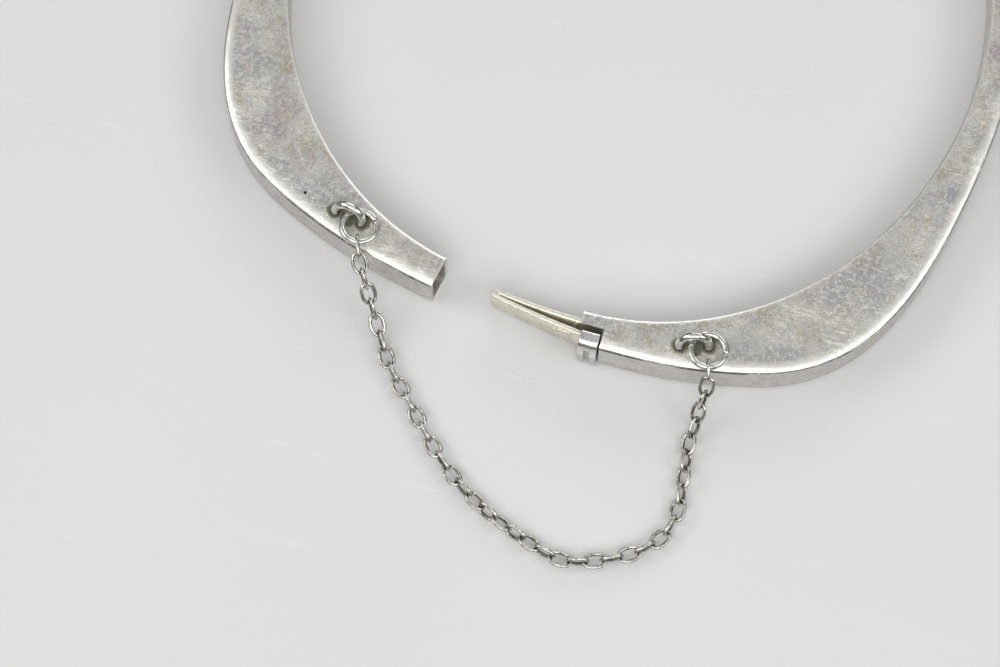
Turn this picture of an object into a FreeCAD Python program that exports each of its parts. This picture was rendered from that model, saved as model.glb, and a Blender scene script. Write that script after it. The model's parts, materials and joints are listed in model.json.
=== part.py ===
import FreeCAD, Part

# Hinged silver bangle with a box clasp and a safety chain.
#
# Millimetres. The bangle lies on its side: +Z is the axis of the wrist opening and z = 0 is the
# surface it rests on. The origin is the middle of the wrist opening, the clasp is towards -Y and the
# hinge towards +Y. The tongue arm is on +X. The receiver arm is drawn closed on -X, as the mirror
# image of the other, then turned about the hinge pin to the opening at which the bangle lies.

import math
import os
from FreeCAD import Rotation, Vector

os.makedirs("parts", exist_ok=True)

# Working values
FAR = 60  # beyond the whole bangle
BEYOND = 1  # a cutter's reach past the faces that it cuts
TOLERANCE = 1e-6
QUARTER_TURN = 90

# Band
WRIST_HALF_WIDTH = 25.8  # inner ellipse, along X
WRIST_HALF_LENGTH = 28.9  # inner ellipse, along Y
BAND_HEIGHT = 4.6
SHEET = 0.35  # thickness of the plates and walls
RIM_RADIUS = 0.22  # rounding of a plate's outer edge
END_GAP = 0.06  # from the mirror plane to each arm's end
# a quarter of the outer outline, from the clasp to the side: narrow ends and a wide corner
OUTLINE = [
    (0, 31.6), (7.8, 31.4), (13.5, 30.45), (18.2, 28.8),
    (21.7, 26.0), (24.7, 21.2), (27.0, 13.5), (28.5, 0),
]

# Hinge
HINGE = Vector(0, 30.8, 0)
REST_OPENING_DEG = 11.38
KNUCKLE_RADIUS = 1.3
KNUCKLE_RELIEF = 0.08  # room around the barrel
KNUCKLE_SPLITS = [0, 1.5, 3.1, BAND_HEIGHT]
KNUCKLE_GAP = 0.05
PIN_RADIUS = 0.4
PIN_CLEARANCE = 0.03
PLUG_DEPTH = 0.9
STRAP_Y = (-0.6, 0.35)  # from the pin's axis
STRAP_OVERLAP = 0.1  # of a strap with its plug

# Clasp
NOTCH_LENGTH = 2.06
NOTCH_BACK_Y = -30.0
TONGUE_LENGTH = 7.25
TONGUE_FLOOR = 0.7
TONGUE_HEIGHT = 3.2
LEAF = 0.33  # strip thickness
FIXED_LEAF_RADIUS = 60.15  # inner face, about the hinge pin
TIP_SPRING_RADIUS = 60.53  # inner face of the spring leaf at the fold
BASE_SPRING_RADIUS = 61.20  # inner face of the spring leaf at the thumbpiece
FOLD_CLEARANCE = 0.03
FOLD_SEAM = 0.02  # past the strips' ends
THUMB_X = (0.3, 1.9)
THUMB_Y = (-31.95, -30.42)
THUMB_FLOOR = 0.3
THUMB_ROUNDING = 0.3
GROOVE_WIDTH = 0.42
GROOVE_DEPTH = 0.3
GROOVE_TOP = 3.75

# Staples and jump rings
STAPLE_WIRE = 0.36  # radius
STAPLE_HALF_SPAN = 1.18
STAPLE_LEG = 0.2
STAPLE_LEAN_DEG = 20
RING_RADIUS = 1.425
RING_WIRE = 0.3  # radius
RING_OPENING_DEG = 5
RING_CLEARANCE = 0.05
TONGUE_STAPLE = (Vector(9.35, -29.35, 0), 14.6)  # middle between the legs, and its turn in degrees
# middle, turn of the ring's joint, and lift by the chain, in degrees
TONGUE_RING = (Vector(10.55, -29.55, 0), -55, 8)
RECEIVER_STAPLE = (Vector(8.72, -29.5, 0), -1.5)
RECEIVER_RING = (Vector(7.42, -29.97, 0), 115, 11)

# Safety chain
LINK_COUNT = 41
LINK_WIRE = 0.15  # radius
LINK_HALF_WIDTH = 0.55  # to the middle of the wire
LINK_STRAIGHT = 0.65
CROSSING = 2 * LINK_WIRE + 0.05  # between the middles of two wires that hook each other
LINK_PITCH = LINK_STRAIGHT + 2 * LINK_HALF_WIDTH - CROSSING
ROUTE_STEPS = 20000
# the line along which the chain lies, from the tongue arm's ring to the receiver arm's
ROUTE = [
    (10.83, -30.63, 5.53), (11.15, -31.84, 4.83), (11.2, -32.74, 3.76), (11.15, -33.44, 2.55),
    (11.05, -34.38, 1.51), (11, -35.6, 0.86), (11.05, -37, 0.78), (11.35, -39.25, 0.78),
    (11.6, -41.48, 0.78), (11.3, -43.6, 0.78), (10.1, -45.42, 0.78), (8.1, -46.84, 0.78),
    (5.9, -47.85, 0.78), (3.8, -48.35, 0.78), (1.3, -47.85, 0.78), (-1.6, -46.84, 0.78),
    (-4.6, -45.42, 0.78), (-7.2, -43.6, 0.78), (-9.6, -41.38, 0.78), (-11.9, -38.95, 0.78),
    (-14.13, -36.62, 0.78), (-14.91, -35.46, 0.8), (-15.65, -34.31, 1.07), (-16.32, -33.26, 1.7),
    (-16.93, -32.34, 2.56), (-17.52, -31.49, 3.5), (-18.11, -30.64, 4.44), (-18.68, -29.66, 5.26),
    (-19.09, -28.355, 5.55),
]
# how far the links are turned about the chain's line, at a few of them
TWIST = [
    (1, 0), (5, 30), (8, 40), (11, 5), (15, 0), (19, 15),
    (22, 42), (26, 10), (30, -6), (35, 8), (41, 0),
]


def mirrored(shape):
    return shape.mirror(Vector(0, 0, 0), Vector(1, 0, 0))


def opened(shape):
    """A receiver-arm shape, turned from closed to the bangle's rest opening."""
    turned = shape.copy()
    turned.rotate(HINGE, Vector(0, 0, 1), -REST_OPENING_DEG)
    return turned


def save(name, shape):
    shape.exportStep(f"parts/{name}.step")


def box(x, y, z):
    """A box between three pairs of limits."""
    corner = Vector(x[0], y[0], z[0])
    return Part.makeBox(x[1] - x[0], y[1] - y[0], z[1] - z[0], corner)


def outer_curve(inset):
    """The outer outline of the +X side, from the clasp to the hinge, moved inwards by inset."""
    quarter = [Vector(x, -y, 0) for x, y in OUTLINE]
    points = quarter + [Vector(p.x, -p.y, 0) for p in reversed(quarter[:-1])]
    curve = Part.BSplineCurve()
    tangents = {"InitialTangent": Vector(1, 0, 0), "FinalTangent": Vector(-1, 0, 0)}
    curve.interpolate(Points=points, **tangents)
    if not inset:
        return curve
    moved = []
    for p in points:
        along = Vector(*curve.tangent(curve.parameter(p))[0])
        moved.append(p + Vector(-along.y, along.x, 0) * inset)
    inner = Part.BSplineCurve()
    inner.interpolate(Points=moved, **tangents)
    return inner


def inner_curve(outset):
    """Half of the wrist ellipse on +X, from the clasp to the hinge, moved outwards by outset."""
    end = Vector(0, WRIST_HALF_LENGTH + outset, 0)
    side = Vector(WRIST_HALF_WIDTH + outset, 0, 0)
    ellipse = Part.Ellipse(end, side, Vector(0, 0, 0))
    return Part.Arc(ellipse, 0, math.pi)


def face_inside(edges):
    """The flat face that some joined edges enclose, in any order."""
    return Part.Face(Part.Wire(Part.sortEdges(edges)[0]))


def half_ring(inner, outer, floor, height):
    """The space between two half-turn curves, as a solid cut off at the arm's two ends."""
    inner_edge = inner.toShape()
    outer_edge = outer.toShape()
    inner_ends = sorted([v.Point for v in inner_edge.Vertexes], key=lambda p: p.y)
    outer_ends = sorted([v.Point for v in outer_edge.Vertexes], key=lambda p: p.y)
    closers = [Part.makeLine(a, b) for a, b in zip(inner_ends, outer_ends)]
    face = face_inside([inner_edge, outer_edge] + closers)
    face.translate(Vector(0, 0, floor))
    solid = face.extrude(Vector(0, 0, height))
    keep = box((END_GAP, FAR), (-FAR, FAR), (-BEYOND, BAND_HEIGHT + BEYOND))
    return solid.common(keep)


def hollow():
    """The empty space inside one arm."""
    return half_ring(inner_curve(SHEET), outer_curve(SHEET), SHEET, BAND_HEIGHT - 2 * SHEET)


def around_pin(radius, floor, top):
    return Part.makeCylinder(radius, top - floor, Vector(HINGE.x, HINGE.y, floor))


def notch():
    """The room for the thumbpiece in the tongue arm's end."""
    return box((-BEYOND, NOTCH_LENGTH), (-FAR, NOTCH_BACK_Y), (-BEYOND, BAND_HEIGHT + BEYOND))


def at_height(edge, z):
    return abs(edge.BoundBox.ZMin - z) < TOLERANCE and abs(edge.BoundBox.ZMax - z) < TOLERANCE


def plate(floor, rounded_z):
    """A flat face of one arm, with its outer rim rounded at rounded_z."""
    sheet = half_ring(inner_curve(0), outer_curve(0), floor, SHEET)
    level = [e for e in sheet.Edges if at_height(e, rounded_z)]
    rim = max(level, key=lambda e: e.Length)
    return sheet.makeFillet(RIM_RADIUS, [rim])


def arm_shells(has_notch):
    """The four sheets of one arm: top plate, bottom plate, outer wall and inner wall."""
    wall_height = BAND_HEIGHT - 2 * SHEET
    shells = {
        "top_plate": plate(BAND_HEIGHT - SHEET, BAND_HEIGHT),
        "bottom_plate": plate(0, 0),
        "outer_wall": half_ring(outer_curve(SHEET), outer_curve(0), SHEET, wall_height),
        "inner_wall": half_ring(inner_curve(0), inner_curve(SHEET), SHEET, wall_height),
    }
    relief = around_pin(KNUCKLE_RADIUS + KNUCKLE_RELIEF, -BEYOND, BAND_HEIGHT + BEYOND)
    for name, shell in shells.items():
        shells[name] = shell.cut(relief)
        if has_notch:
            shells[name] = shells[name].cut(notch())
    return shells


def hinge_half(levels):
    """Knuckles at the given heights, on straps from a plug that closes the arm's end."""
    reach = KNUCKLE_RADIUS + KNUCKLE_RELIEF
    half = hollow().common(box((reach, reach + PLUG_DEPTH), (0, FAR), (0, BAND_HEIGHT)))
    strap_y = [HINGE.y + y for y in STRAP_Y]
    for floor, top in levels:
        half = half.fuse(around_pin(KNUCKLE_RADIUS, floor, top))
        strap_z = (max(floor, SHEET), min(top, BAND_HEIGHT - SHEET))
        half = half.fuse(box((0, reach + STRAP_OVERLAP), strap_y, strap_z))
    return half.removeSplitter()


def hinge_parts():
    """The tongue arm's two knuckles, the receiver arm's one between them, and the pin."""
    low, first, second, high = KNUCKLE_SPLITS
    bore = around_pin(PIN_RADIUS, -BEYOND, BAND_HEIGHT + BEYOND)
    loose_bore = around_pin(PIN_RADIUS + PIN_CLEARANCE, -BEYOND, BAND_HEIGHT + BEYOND)
    middle = (first + KNUCKLE_GAP, second - KNUCKLE_GAP)
    return {
        "tongue_arm_hinge_knuckles": hinge_half([(low, first), (second, high)]).cut(bore),
        "receiver_arm_hinge_knuckle": opened(mirrored(hinge_half([middle]).cut(loose_bore))),
        "hinge_pin": around_pin(PIN_RADIUS, 0, BAND_HEIGHT),
    }


def about_pin(radius, x):
    """The point at x on a circle about the hinge pin, on the clasp side."""
    return Vector(x, HINGE.y - math.sqrt(radius * radius - x * x), 0)


def leaf(tip_radius, base_radius, base_x):
    """A strip standing on its edge from the tongue's tip to base_x, LEAF thick."""
    middle_x = (base_x - TONGUE_LENGTH) / 2
    middle_radius = (tip_radius + base_radius) / 2
    radii = [(tip_radius, -TONGUE_LENGTH), (middle_radius, middle_x), (base_radius, base_x)]
    near = Part.Arc(*[about_pin(r, x) for r, x in radii]).toShape()
    far = Part.Arc(*[about_pin(r + LEAF, x) for r, x in radii]).toShape()
    ends = [Part.makeLine(about_pin(r, x), about_pin(r + LEAF, x)) for r, x in (radii[0], radii[2])]
    face = face_inside([near, far] + ends)
    face.translate(Vector(0, 0, TONGUE_FLOOR))
    return face.extrude(Vector(0, 0, TONGUE_HEIGHT))


def upright(centre, radius):
    """A cylinder as tall as the tongue's strips."""
    return Part.makeCylinder(radius, TONGUE_HEIGHT, Vector(centre.x, centre.y, TONGUE_FLOOR))


def tongue_leaves():
    """The fixed strip with the fold at its tip, and the spring strip that turns in the fold."""
    pivot = about_pin(TIP_SPRING_RADIUS + LEAF / 2, -TONGUE_LENGTH)
    spring = leaf(TIP_SPRING_RADIUS, BASE_SPRING_RADIUS, THUMB_X[0])
    spring = spring.fuse(upright(pivot, LEAF / 2))

    fold_radius = (TIP_SPRING_RADIUS - FIXED_LEAF_RADIUS + LEAF) / 2
    fold = upright(about_pin(FIXED_LEAF_RADIUS + fold_radius, -TONGUE_LENGTH), fold_radius)
    fold = fold.cut(upright(pivot, LEAF / 2 + FOLD_CLEARANCE))
    spring_side = about_pin(TIP_SPRING_RADIUS - FOLD_CLEARANCE, -TONGUE_LENGTH)
    fold = fold.cut(box((-TONGUE_LENGTH - FOLD_SEAM, 0), (-FAR, spring_side.y), (0, BAND_HEIGHT)))
    fixed = leaf(FIXED_LEAF_RADIUS, FIXED_LEAF_RADIUS, END_GAP).fuse(fold)
    return fixed.removeSplitter(), spring.removeSplitter()


def thumbpiece():
    """The block that the thumb presses, with its brow rounded and a groove in its front."""
    front = THUMB_Y[0]
    thumb = box(THUMB_X, THUMB_Y, (THUMB_FLOOR, BAND_HEIGHT))
    level = [e for e in thumb.Edges if at_height(e, BAND_HEIGHT)]
    brow = min(level, key=lambda e: e.BoundBox.YMax)
    thumb = thumb.makeFillet(THUMB_ROUNDING, [brow])
    middle = sum(THUMB_X) / 2
    groove_x = (middle - GROOVE_WIDTH / 2, middle + GROOVE_WIDTH / 2)
    return thumb.cut(box(groove_x, (front - BEYOND, front + GROOVE_DEPTH), (0, GROOVE_TOP)))


def end_plate():
    """The bent plate that closes the tongue arm behind the tongue and round the notch."""
    inside = (SHEET, BAND_HEIGHT - SHEET)
    back = (NOTCH_BACK_Y, NOTCH_BACK_Y + SHEET)
    plates = box((END_GAP, END_GAP + SHEET), (NOTCH_BACK_Y, 0), inside)
    plates = plates.fuse(box((END_GAP, NOTCH_LENGTH + SHEET), back, inside))
    plates = plates.fuse(box((NOTCH_LENGTH, NOTCH_LENGTH + SHEET), (-FAR, back[1]), inside))
    return plates.common(hollow()).removeSplitter()


def tongue_parts():
    fixed, spring = tongue_leaves()
    return {
        "tongue_fixed_leaf": fixed,
        "tongue_spring_leaf": spring,
        "thumbpiece": thumbpiece(),
        "tongue_arm_end_plate": end_plate(),
    }


def staple(middle, turn_deg):
    """A bent wire loop soldered on the top plate, leaning towards the wrist."""
    side = Vector(STAPLE_HALF_SPAN, 0, 0)
    foot = Vector(0, 0, -STAPLE_WIRE)
    knee = Vector(0, 0, STAPLE_LEG)
    arch = Part.Arc(knee - side, Vector(0, 0, STAPLE_LEG + STAPLE_HALF_SPAN), knee + side).toShape()
    near_leg = Part.makeLine(foot - side, knee - side)
    far_leg = Part.makeLine(knee + side, foot + side)
    path = Part.Wire([near_leg, arch, far_leg])
    section = Part.Wire(Part.makeCircle(STAPLE_WIRE, foot - side, Vector(0, 0, 1)))
    wire = path.makePipeShell([section], True, True)
    wire.rotate(Vector(0, 0, 0), Vector(1, 0, 0), -STAPLE_LEAN_DEG)
    wire = wire.common(box((-FAR, FAR), (-FAR, FAR), (0, FAR)))
    wire.rotate(Vector(0, 0, 0), Vector(0, 0, 1), turn_deg)
    wire.translate(middle + Vector(0, 0, BAND_HEIGHT))
    return wire


def jump_ring(centre, joint_deg, lift_deg):
    """A round wire ring lying on the top plate with its -Y side lifted, its joint at joint_deg."""
    turn = 4 * QUARTER_TURN
    centre_and_axis = (Vector(0, 0, 0), Vector(0, 0, 1))
    ring = Part.makeTorus(RING_RADIUS, RING_WIRE, *centre_and_axis, 0, turn, turn - RING_OPENING_DEG)
    ring.rotate(Vector(0, 0, 0), Vector(0, 0, 1), joint_deg + RING_OPENING_DEG / 2)
    ring.rotate(Vector(0, 0, 0), Vector(1, 0, 0), -lift_deg)
    rise = RING_RADIUS * math.sin(math.radians(lift_deg)) + RING_WIRE + RING_CLEARANCE
    ring.translate(centre + Vector(0, 0, BAND_HEIGHT + rise))
    return ring


def ring_parts():
    return {
        "tongue_arm_chain_staple": staple(*TONGUE_STAPLE),
        "tongue_arm_jump_ring": jump_ring(*TONGUE_RING),
        "receiver_arm_chain_staple": opened(mirrored(staple(*RECEIVER_STAPLE))),
        "receiver_arm_jump_ring": opened(mirrored(jump_ring(*RECEIVER_RING))),
    }


def between(table, at):
    """Straight interpolation in a table of (place, value) pairs."""
    for (a, low), (b, high) in zip(table, table[1:]):
        if at <= b:
            return low + (high - low) * (at - a) / (b - a)
    return table[-1][1]


def chain_joints():
    """The places where the links meet: one pitch apart along the route."""
    route = Part.BSplineCurve()
    route.interpolate(Points=[Vector(*p) for p in ROUTE])
    joints = [route.value(route.FirstParameter)]
    for i in range(ROUTE_STEPS + 1):
        share = i / ROUTE_STEPS
        point = route.value(route.FirstParameter * (1 - share) + route.LastParameter * share)
        if (point - joints[-1]).Length >= LINK_PITCH and len(joints) <= LINK_COUNT:
            joints.append(point)
    return joints


def chain_link():
    """One oval link round the origin, lying in the XY plane with its length along X."""
    half = LINK_STRAIGHT / 2
    side = LINK_HALF_WIDTH
    corners = [Vector(x, y, 0) for x, y in ((-half, -side), (half, -side), (half, side), (-half, side))]
    path = Part.Wire([
        Part.makeLine(corners[0], corners[1]),
        Part.Arc(corners[1], Vector(half + side, 0, 0), corners[2]).toShape(),
        Part.makeLine(corners[2], corners[3]),
        Part.Arc(corners[3], Vector(-half - side, 0, 0), corners[0]).toShape(),
    ])
    section = Part.Wire(Part.makeCircle(LINK_WIRE, corners[0], Vector(1, 0, 0)))
    return path.makePipeShell([section], True, True)


def unit(vector):
    return vector * (1 / vector.Length)


def bend_middle(joint, lean, normal, way):
    """The middle of a link's end bend, for the link that starts (way 1) or ends (way -1) at a joint."""
    flat_lean = unit(lean - normal * lean.dot(normal))
    return joint + (flat_lean * LINK_HALF_WIDTH - lean * (CROSSING / 2)) * way


def chain_parts():
    """The links, each a quarter turn from the one before and as twisted as the chain lies."""
    joints = chain_joints()
    runs = [unit(b - a) for a, b in zip(joints, joints[1:])]
    leans = [runs[0]] + [unit(a + b) for a, b in zip(runs, runs[1:])] + [runs[-1]]
    shape = chain_link()
    links = {}
    for i in range(LINK_COUNT):
        quarter = QUARTER_TURN if i % 2 == 0 else 0
        level = unit(Vector(-runs[i].y, runs[i].x, 0))
        side = Rotation(runs[i], quarter + between(TWIST, i + 1)).multVec(level)
        normal = runs[i].cross(side)
        start = bend_middle(joints[i], leans[i], normal, 1)
        end = bend_middle(joints[i + 1], leans[i + 1], normal, -1)
        along = unit(end - start)
        turn = Rotation(along, unit(side - along * side.dot(along)), along.cross(side), "XYZ")
        link = shape.copy()
        link.Placement = FreeCAD.Placement((start + end) * 0.5, turn)
        links[f"chain_link_{i + 1:02d}"] = link
    return links


def main():
    nodes = {}
    for name, shell in arm_shells(has_notch=True).items():
        nodes[f"tongue_arm_{name}"] = shell
    for name, shell in arm_shells(has_notch=False).items():
        nodes[f"receiver_arm_{name}"] = opened(mirrored(shell))
    for group in (hinge_parts(), tongue_parts(), ring_parts(), chain_parts()):
        nodes.update(group)
    for name, shape in nodes.items():
        save(name, shape)
    print(len(nodes), "nodes")


main()
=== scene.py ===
import json
import math
import bmesh
import bpy
import numpy as np
from mathutils import Matrix, Vector, noise


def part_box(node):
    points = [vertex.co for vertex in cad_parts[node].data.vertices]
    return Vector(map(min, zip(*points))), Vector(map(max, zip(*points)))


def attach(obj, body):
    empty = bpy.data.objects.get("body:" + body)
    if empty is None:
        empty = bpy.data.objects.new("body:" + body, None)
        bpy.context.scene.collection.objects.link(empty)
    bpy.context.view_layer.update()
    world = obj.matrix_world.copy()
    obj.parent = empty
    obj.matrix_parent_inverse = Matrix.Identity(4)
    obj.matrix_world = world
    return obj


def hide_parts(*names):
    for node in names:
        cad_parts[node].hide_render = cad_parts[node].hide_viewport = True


# Meshes are worked out in millimetres, in the frame of the record, and scaled to metres as they are made.
MM = 0.001

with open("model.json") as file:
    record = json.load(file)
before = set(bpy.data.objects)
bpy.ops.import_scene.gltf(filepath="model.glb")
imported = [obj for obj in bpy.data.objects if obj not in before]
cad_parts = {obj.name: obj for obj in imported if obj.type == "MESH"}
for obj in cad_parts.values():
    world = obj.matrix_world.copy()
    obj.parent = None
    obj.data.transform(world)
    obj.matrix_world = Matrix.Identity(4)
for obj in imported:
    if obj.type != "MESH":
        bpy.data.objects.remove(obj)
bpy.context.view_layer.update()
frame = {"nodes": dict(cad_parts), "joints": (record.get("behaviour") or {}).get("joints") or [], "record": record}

# ---- what the frame says -------------------------------------------------------------------------


def low(node):
    """The lowest corner of a CAD node, in millimetres."""
    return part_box(node)[0] / MM


def high(node):
    """The highest corner of a CAD node, in millimetres."""
    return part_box(node)[1] / MM


def node_points(node):
    """The vertices of a CAD node, in millimetres."""
    mesh = frame["nodes"][node].data
    found = np.empty(len(mesh.vertices) * 3)
    mesh.vertices.foreach_get("co", found)
    return found.reshape(-1, 3) / MM


BODIES = frame["record"]["behaviour"]["bodies"]
BODY_OF = {node: body for body, nodes in BODIES.items() for node in nodes}
arm_hinge = next(j for j in frame["joints"] if j["name"] == "arm_hinge")
HINGE = Vector(arm_hinge["pos_m"]) / MM
REST_OPENING = math.radians(-arm_hinge["range_deg"][0])
END_GAP = low("tongue_arm_top_plate").x
SHEET = low("tongue_arm_outer_wall").z
HEIGHT = high("tongue_arm_top_plate").z
WRIST_X = high("tongue_arm_inner_wall").x - SHEET
WRIST_Y = -low("tongue_arm_inner_wall").y - SHEET
RELIEF = low("tongue_arm_outer_wall").x + END_GAP  # radius about the pin within which the sheets are cut
KNUCKLE = high("tongue_arm_hinge_knuckles").y - HINGE.y
PIN = high("hinge_pin").x
BEYOND = 1  # a cutter's reach past what it cuts
FAR = 40  # further out than any part of the bangle


def to_receiver():
    """The matrix that takes a closed arm on +X to the receiver arm where it lies."""
    about = Matrix.Translation(HINGE)
    turn = Matrix.Rotation(-REST_OPENING, 4, "Z")
    return about @ turn @ about.inverted() @ Matrix.Scale(-1, 4, (1, 0, 0))


RECEIVER = to_receiver()


def moved(points, matrix):
    """Points as rows, moved by a matrix."""
    m = np.array(matrix)
    return points @ m[:3, :3].T + m[:3, 3]


# ---- mesh helpers --------------------------------------------------------------------------------


def make_object(name, points, faces, sharp_deg=35):
    """A mesh object from points in millimetres, smooth except where it turns by more than sharp_deg."""
    mesh = bpy.data.meshes.new(name)
    mesh.from_pydata([Vector(p) * MM for p in points], [], faces)
    piece = bpy.data.objects.new(name, mesh)
    bpy.context.scene.collection.objects.link(piece)
    shade(piece, sharp_deg)
    return piece


def shade(piece, sharp_deg):
    """Outward normals, smooth faces, and sharp edges where faces meet at more than sharp_deg."""
    work = bmesh.new()
    work.from_mesh(piece.data)
    bmesh.ops.recalc_face_normals(work, faces=work.faces)
    limit = math.radians(sharp_deg)
    for face in work.faces:
        face.smooth = True
    for edge in work.edges:
        edge.smooth = len(edge.link_faces) == 2 and edge.calc_face_angle(0) < limit
    work.to_mesh(piece.data)
    work.free()


def loft(name, sections, sharp_deg=35, closed=False):
    """A skin over a row of closed sections, with flat ends unless the row closes on itself."""
    rows = len(sections)
    size = len(sections[0])
    faces = []
    for i in range(rows if closed else rows - 1):
        here = i * size
        there = (i + 1) % rows * size
        for j in range(size):
            k = (j + 1) % size
            faces.append((here + j, here + k, there + k, there + j))
    if not closed:
        faces.append(tuple(range(size))[::-1])
        faces.append(tuple(range((rows - 1) * size, rows * size)))
    return make_object(name, np.concatenate(sections), faces, sharp_deg)


def apply_modifiers(piece):
    """Replaces the piece's mesh by what its modifiers make of it."""
    graph = bpy.context.evaluated_depsgraph_get()
    graph.update()
    made = bpy.data.meshes.new_from_object(piece.evaluated_get(graph))
    piece.modifiers.clear()
    piece.data = made
    return piece


def combine(piece, other, operation, sharp_deg=35):
    """Cuts the other piece from this one, or joins it to it, and removes the other."""
    step = piece.modifiers.new("combine", "BOOLEAN")
    step.operation = operation
    step.solver = "EXACT"
    step.object = other
    apply_modifiers(piece)
    bpy.data.objects.remove(other)
    shade(piece, sharp_deg)
    return piece


def bevel(piece, width, segments=3, angle_deg=40):
    """Rounds the piece's sharp edges. The width is in millimetres."""
    step = piece.modifiers.new("bevel", "BEVEL")
    step.width = width * MM
    step.segments = segments
    step.limit_method = "ANGLE"
    step.angle_limit = math.radians(angle_deg)
    step.harden_normals = False
    apply_modifiers(piece)
    shade(piece, angle_deg)
    return piece


def box_piece(name, x, y, z):
    """A box between three pairs of limits."""
    ring = [(x[0], y[0]), (x[1], y[0]), (x[1], y[1]), (x[0], y[1])]
    return loft(name, [np.array([(*p, level) for p in ring]) for level in z])


def post(name, centre, profile, count=64):
    """An upright turned shape: profile is a list of (radius, z) from bottom to top."""
    angles = np.linspace(0, math.tau, count, endpoint=False)
    sections = []
    for radius, z in profile:
        x = centre[0] + radius * np.cos(angles)
        y = centre[1] + radius * np.sin(angles)
        sections.append(np.column_stack([x, y, np.full(count, z)]))
    return loft(name, sections)


def tube(name, path, radii, closed, sides=20, up=None):
    """A wire along a path. Its radius may change along the way."""
    path = np.array(path)
    count = len(path)
    if closed:
        along = np.roll(path, -1, 0) - np.roll(path, 1, 0)
    else:
        along = np.gradient(path, axis=0)
    along /= np.linalg.norm(along, axis=1)[:, None]
    angles = np.linspace(0, math.tau, sides, endpoint=False)
    sections = []
    for i in range(count):
        side = np.cross(along[i], up)
        side /= np.linalg.norm(side)
        over = np.cross(side, along[i])
        ring = np.outer(np.cos(angles), side) + np.outer(np.sin(angles), over)
        sections.append(path[i] + ring * radii[i])
    return loft(name, sections, 50, closed)


def paint(piece, name, values):
    """Stores a value at each vertex, for the materials to read."""
    layer = piece.data.attributes.new(name, "FLOAT", "POINT")
    layer.data.foreach_set("value", np.asarray(values, np.float32))


def place(piece, node, material):
    """Gives a piece the body of the CAD node that it stands for, and its material."""
    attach(piece, BODY_OF[node])
    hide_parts(node)
    piece.data.materials.clear()
    piece.data.materials.append(material)
    return piece


def vertex_array(piece):
    """The piece's vertices as rows, in millimetres."""
    found = np.empty(len(piece.data.vertices) * 3)
    piece.data.vertices.foreach_get("co", found)
    return found.reshape(-1, 3) / MM


def transform(piece, matrix):
    """Moves the piece's mesh by a matrix in millimetres."""
    scale = Matrix.Scale(MM, 4)
    piece.data.transform(scale @ matrix @ scale.inverted())
    shade(piece, 35)
    return piece


# ---- materials -----------------------------------------------------------------------------------


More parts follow.
